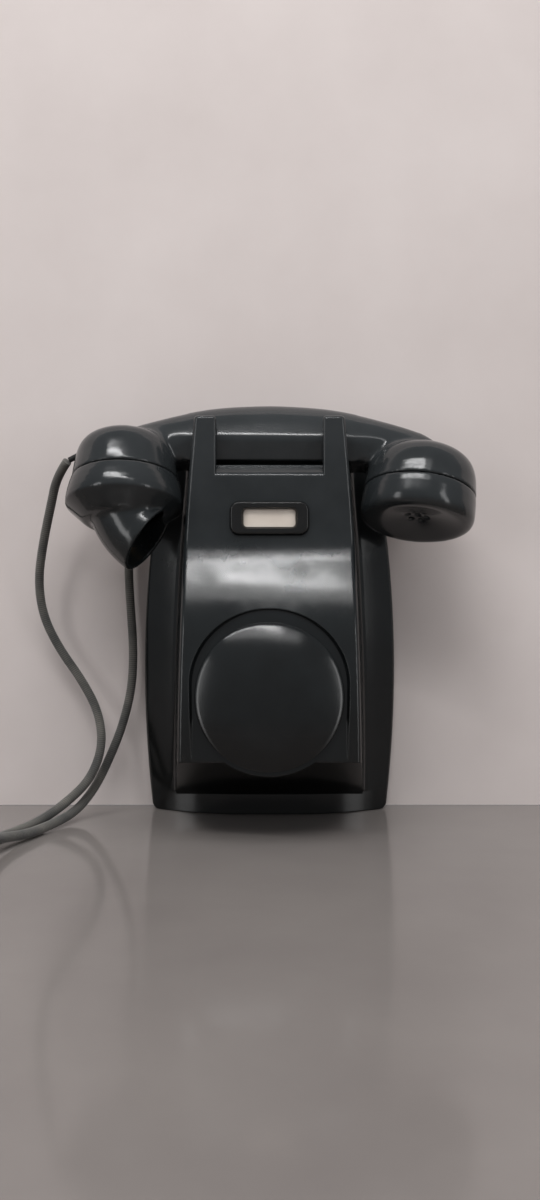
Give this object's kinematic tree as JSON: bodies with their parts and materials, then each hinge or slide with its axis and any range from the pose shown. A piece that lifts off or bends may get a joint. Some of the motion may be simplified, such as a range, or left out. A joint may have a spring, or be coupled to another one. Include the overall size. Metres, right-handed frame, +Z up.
{
  "type": "wall telephone",
  "caption": "Black bakelite wall telephone with a plain domed cover in place of a dial, a fork cradle, a lift-off handset with a curved mouthpiece, and a plain round cord.",
  "frame": {"origin": "centre of the wall screw holes, on the wall plane", "axes": "+X to the right seen from the front, +Y into the wall, +Z up"},
  "size_m": [0.3226, 0.1706, 0.2378],
  "materials": {
    "bakelite": "polished black bakelite",
    "steel": "zinc plated",
    "iron": "soft iron, oiled",
    "brass": "turned",
    "gong_metal": "nickel plated",
    "winding": "enamelled copper under varnished cloth",
    "paper": "cream paper card",
    "clear": "clear celluloid sheet",
    "rubber": "moulded black rubber",
    "cord": "black braided cotton over rubber",
    "insulator": "brown laminate",
    "can": "tinned can, lacquered",
    "capsule": "spun aluminium",
    "tie": "woven tape"
  },
  "bodies": {
    "base": {"base_plate": "steel", "case_shell": "bakelite", "case_screws": "steel", "dial_blank": "bakelite", "dial_blank_ring": "steel", "dial_blank_screws": "steel", "number_card_frame": "bakelite", "number_card": "paper", "card_window": "clear", "cord_grommet": "rubber", "cord_clamp": "insulator", "hook_bracket": "steel", "hook_pivot_pin": "steel", "hook_return_spring": "steel", "contact_block": "insulator", "contact_springs": "brass", "ringer_frame": "steel", "ringer_yoke": "iron", "ringer_coils": "winding", "ringer_cores": "iron", "ringer_magnet": "iron", "armature_pin": "steel", "bell_gongs": "gong_metal", "gong_posts": "steel", "gong_screws": "brass", "induction_coil": "winding", "induction_core": "iron", "capacitor": "can", "capacitor_strap": "steel", "terminal_block": "insulator", "terminal_screws": "brass", "handset_cord_upper": "cord", "handset_cord_coil": "cord", "handset_cord_lower": "cord", "cord_tie": "tie"},
    "handset": {"handset_shell": "bakelite", "receiver_cap": "bakelite", "receiver_capsule": "capsule", "transmitter_cap": "bakelite", "transmitter_capsule": "capsule", "capsule_contacts": "brass", "handset_cord_neck": "rubber"},
    "plungers": {"hook_plungers": "bakelite"},
    "lever": {"hook_lever": "brass"},
    "clapper": {"clapper_armature": "steel"}
  },
  "joints": [
    {"name": "handset_lift", "type": "slide", "parent": "base", "child": "handset", "axis": [0, 0, 1], "range_m": [0, 0.06], "deforming": ["handset_cord_upper"]},
    {"name": "hook_rise", "type": "slide", "parent": "base", "child": "plungers", "axis": [0, 0, 1], "range_m": [0, 0.005]},
    {"name": "hook_turn", "type": "hinge", "parent": "base", "child": "lever", "pos_m": [0, -0.024, 0.0765], "axis": [-1, 0, 0], "range_deg": [0, 14]},
    {"name": "clapper_swing", "type": "hinge", "parent": "base", "child": "clapper", "pos_m": [0, -0.034, -0.042], "axis": [0, 1, 0], "range_deg": [-5, 5]}
  ],
  "couplings": [
    {"joint": "hook_rise", "follows": "handset_lift", "ratio": 0.083333},
    {"joint": "hook_turn", "follows": "handset_lift", "rad_per_m": 4.0724}
  ]
}
